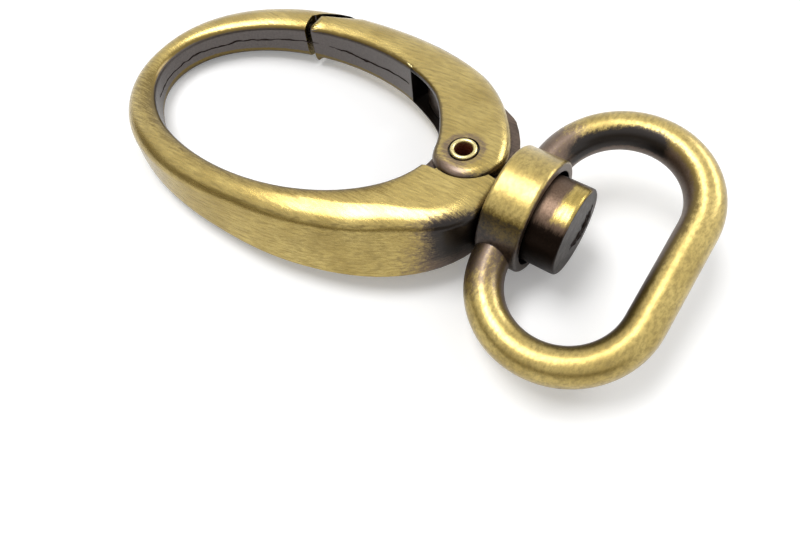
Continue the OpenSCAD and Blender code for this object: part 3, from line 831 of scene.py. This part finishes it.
# %% The loop's hub
# The hub is what lies within its own radius and length; the bar is the rest
off_hub = add(tree, "ShaderNodeMath", {0: parts.outputs[0]}, operation="ABSOLUTE")
in_band = add(tree, "ShaderNodeMath", {0: off_hub, 1: 2.32}, operation="LESS_THAN")
in_round = add(tree, "ShaderNodeMath", {0: across, 1: 6.2}, operation="LESS_THAN")
hub = add(tree, "ShaderNodeMath", {0: in_band, 1: in_round}, operation="MULTIPLY")
height = add(tree, "ShaderNodeMath", {0: parts.outputs[1], 1: 0.35, 2: parts.outputs[2]},
             operation="MULTIPLY_ADD")
low = add(tree, "ShaderNodeMapRange", {"Value": height, "From Min": 3.3, "From Max": 1.6})
bottom = add(tree, "ShaderNodeMapRange", {"Value": height, "From Min": 1, "From Max": -1})
ends = add(tree, "ShaderNodeMath", {0: turned.outputs[0]}, operation="ABSOLUTE")
ends = add(tree, "ShaderNodeMapRange", {"Value": ends, "From Min": 0.7, "From Max": 0.95})
hub_mauve = add(tree, "ShaderNodeMath", {0: bottom, 1: ends}, operation="MAXIMUM")
speckled = add(tree, "ShaderNodeMapRange", {
    "Value": height, "From Min": 2.7, "From Max": 1.9, "To Max": 0.56})
print("loop: hub masks ready")

# %% The loop's bar
inside = add(tree, "ShaderNodeMapRange", {
    "Value": outward, "From Min": -0.6, "From Max": -0.95})
roots = add(tree, "ShaderNodeMapRange", {
    "Value": across, "From Min": 13, "From Max": 8.5, "To Min": 0, "To Max": 0.7})
near = add(tree, "ShaderNodeMapRange", {"Value": parts.outputs[0], "From Min": 5, "From Max": 1})
roots = add(tree, "ShaderNodeMath", {0: near, 1: roots}, operation="MULTIPLY")
far_bend = add(tree, "ShaderNodeMapRange", {
    "Value": parts.outputs[1], "From Min": 5, "From Max": 8})
wide = add(tree, "ShaderNodeMapRange", {
    "Value": outward, "From Min": -0.3, "From Max": -0.75})
far_dark = add(tree, "ShaderNodeMath", {0: far_bend, 1: wide}, operation="MULTIPLY")
upper = add(tree, "ShaderNodeMapRange", {
    "Value": turned.outputs[2], "From Min": -0.25, "From Max": 0.1})
far_dark = add(tree, "ShaderNodeMath", {0: far_dark, 1: upper}, operation="MULTIPLY")
left = add(tree, "ShaderNodeMapRange", {
    "Value": parts.outputs[0], "From Min": 10.5, "From Max": 8.5})
far_dark = add(tree, "ShaderNodeMath", {0: far_dark, 1: left}, operation="MULTIPLY")
mauve = add(tree, "ShaderNodeMath", {0: inside, 1: roots}, operation="MAXIMUM")
print("loop: bar masks ready")

# %% Material of the loop
olive = add(tree, "ShaderNodeMix", {0: hub, 2: wide, 3: low})
brown = add(tree, "ShaderNodeMix", {0: hub, 2: mauve, 3: hub_mauve})
black = add(tree, "ShaderNodeMix", {0: hub, 2: far_dark, 3: speckled})
lines = add(tree, "ShaderNodeVectorMath", {0: point, 1: (3, 1.5, 3)}, operation="MULTIPLY")
brass_layers(
    tree, output, point, lines, {"olive": olive, "brown": brown, "black": black}, satin=0.07)
loop_brass = material
print("material:", loop_brass.name)

# %% [markdown]
# ## The post
# The post's head stands in the hub. The strap rubs its outer edge bright; the rest of its side is
# mauve-brown, with painted shade that makes it black low down. Its end was never brushed: it is
# flat and dark, with painted dark reflection on it and a rough mark left by the tool that set it.
# It has the same coats as the castings, but no lacquer, because a clear coat on the dark end
# mirrors the room and turns it pale.

# %% Material of the post
material, tree, output = empty_material("darkened_brass_on_the_post")
point, facing = millimetres(tree)
parts = add(tree, "ShaderNodeSeparateXYZ", {0: point})
inner = add(tree, "ShaderNodeMapRange", {
    "Value": parts.outputs[0], "From Min": -11.1, "From Max": -12.2})
under = add(tree, "ShaderNodeMapRange", {
    "Value": parts.outputs[2], "From Min": 4.3, "From Max": 3.5})
mauve = add(tree, "ShaderNodeMath", {0: inner, 1: under}, operation="MAXIMUM")
# Painted shade: black low on the head's side
deep = add(tree, "ShaderNodeMapRange", {
    "Value": parts.outputs[2], "From Min": 4, "From Max": 2.9})
turned = add(tree, "ShaderNodeSeparateXYZ", {0: facing})
end = add(tree, "ShaderNodeMapRange", {
    "Value": turned.outputs[0], "From Min": 0.85, "From Max": 0.95})
side = add(tree, "ShaderNodeMath", {0: 1, 1: end}, operation="SUBTRACT")
deep = add(tree, "ShaderNodeMath", {0: deep, 1: side}, operation="MULTIPLY")
# Painted dark reflection on the head's flat end
painted_dark_reflection = add(tree, "ShaderNodeMath", {0: end, 1: 0.6}, operation="MULTIPLY")
black = add(tree, "ShaderNodeMath", {0: deep, 1: painted_dark_reflection}, operation="MAXIMUM")
lines = add(tree, "ShaderNodeVectorMath", {0: point, 1: (6, 1, 1)}, operation="MULTIPLY")
brass_layers(tree, output, point, lines, {"brown": mauve, "slate": end, "black": black}, 0)
post_brass = material
print("material:", post_brass.name)

# %% [markdown]
# ## The rivet
# The rivet is plain brass tube, set after the plating, so it is the brightest metal here, and its
# rolled ends are polished by the setting punch. Its bore is painted dark red-brown as shade. The
# bore could be picked out by its place, but ambient occlusion finds it wherever it is, and gives it
# a soft border. The burr beside the gate's slot is the same bare brass, raised by the cutter.

# %% Material of the rivet
material, tree, output = empty_material("bright_rolled_brass")
point, _ = millimetres(tree)
# Painted shade in the bore, found by ambient occlusion
inner = add(tree, "ShaderNodeAmbientOcclusion", {"Distance": 3.5 * MM}, samples=8)
painted_bore_shade = add(tree, "ShaderNodeMapRange", {
    "Value": inner.outputs["AO"], "From Min": 0.62, "From Max": 0.4})
grain = add(tree, "ShaderNodeTexNoise", {"Vector": point, "Scale": 5, "Detail": 3})
bright = add(tree, "ShaderNodeMix", {0: grain, 6: colour("C9B878"), 7: colour("F0E3AC")},
             data_type="RGBA").outputs[2]
body = add(tree, "ShaderNodeMix", {0: painted_bore_shade, 6: bright, 7: colour("6A3524")},
           data_type="RGBA").outputs[2]
rough = add(tree, "ShaderNodeMapRange", {"Value": grain, "To Min": 0.2, "To Max": 0.36})
# Where the bore is painted dark as shade, the surface is no metal
metal = add(tree, "ShaderNodeMath", {0: 1, 1: painted_bore_shade}, operation="SUBTRACT")
soft_edge = add(tree, "ShaderNodeBevel", {"Radius": 0.06 * MM}, samples=4)
relief = add(tree, "ShaderNodeBump", {
    "Height": grain, "Distance": 0.02 * MM, "Strength": 0.5, "Normal": soft_edge})
surface = add(tree, "ShaderNodeBsdfPrincipled", {
    "Base Color": body, "Metallic": metal, "Roughness": rough, "Normal": relief})
tree.links.new(surface.outputs[0], output.inputs["Surface"])
rivet_brass = material
print("material:", rivet_brass.name)

# %% A bright burr on the gate, where the slot was cut after the plating
gate_burr = ridge("gate_burr", on_the_wall(61.5, 57.6, 2.75, 1.022), 0.1, "gate", rivet_brass)

# %% The setting tool's rough mark on the end of the post
head_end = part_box("swivel_post")[1].x / MM


def on_the_head(set_in):
    """Points of a rough arc on the flat end of the post's head, some way in from its edge."""
    def place(share):
        stops = ((3.3, 0.9), (3.15, -0.8), (2.1, -1.7), (0.6, -1.9), (-1.2, -1.8))
        first = min(int(share * 4), 3)
        spot = Vector(stops[first]).lerp(Vector(stops[first + 1]), share * 4 - first)
        spot *= 1 - set_in / 3
        rough = 0.3 * noise.noise(Vector((share * 9, set_in * 5, 0)))
        return Vector((head_end - 0.08, spot.x + rough, spot.y + rough))
    return place


for number, set_in in enumerate((0, 0.45, 0.9)):
    post_mark = ridge(f"post_tool_mark_{number + 1}", on_the_head(set_in), 0.3, "hook",
                      ridge_patina)
print("tool mark on the post's end, x =", round(head_end, 2), "mm")

# %% [markdown]
# ## Spring steel
# The torsion spring is drawn wire. It hardly shows between the cheeks, so a grey metal with a fine
# grain is enough, and the grain is not turned along the coil.

# %% Material of the spring
material, tree, output = empty_material("drawn_spring_steel")
point, _ = millimetres(tree)
grain = add(tree, "ShaderNodeTexNoise", {"Vector": point, "Scale": 6, "Detail": 4})
rough = add(tree, "ShaderNodeMapRange", {"Value": grain, "To Min": 0.25, "To Max": 0.45})
steel = add(tree, "ShaderNodeMix", {0: grain, 6: colour("6E6A64"), 7: colour("A8A6A2")},
            data_type="RGBA").outputs[2]
relief = add(tree, "ShaderNodeBump", {"Height": grain, "Distance": 0.01 * MM, "Strength": 0.5})
surface = add(tree, "ShaderNodeBsdfPrincipled", {
    "Base Color": steel, "Metallic": 1, "Roughness": rough, "Normal": relief})
tree.links.new(surface.outputs[0], output.inputs["Surface"])
spring_steel = material
print("material:", spring_steel.name)

# %% Dress the CAD nodes that keep their shape
for node_name, material in (
    ("swivel_loop", loop_brass),
    ("swivel_post", post_brass),
    ("hinge_rivet", rivet_brass),
    ("gate_spring", spring_steel),
):
    slots = frame["nodes"][node_name].material_slots
    for slot in slots:
        slot.material = material
    print(node_name, "wears", material.name)

# %% Bounds of the dressed part
low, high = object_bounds()
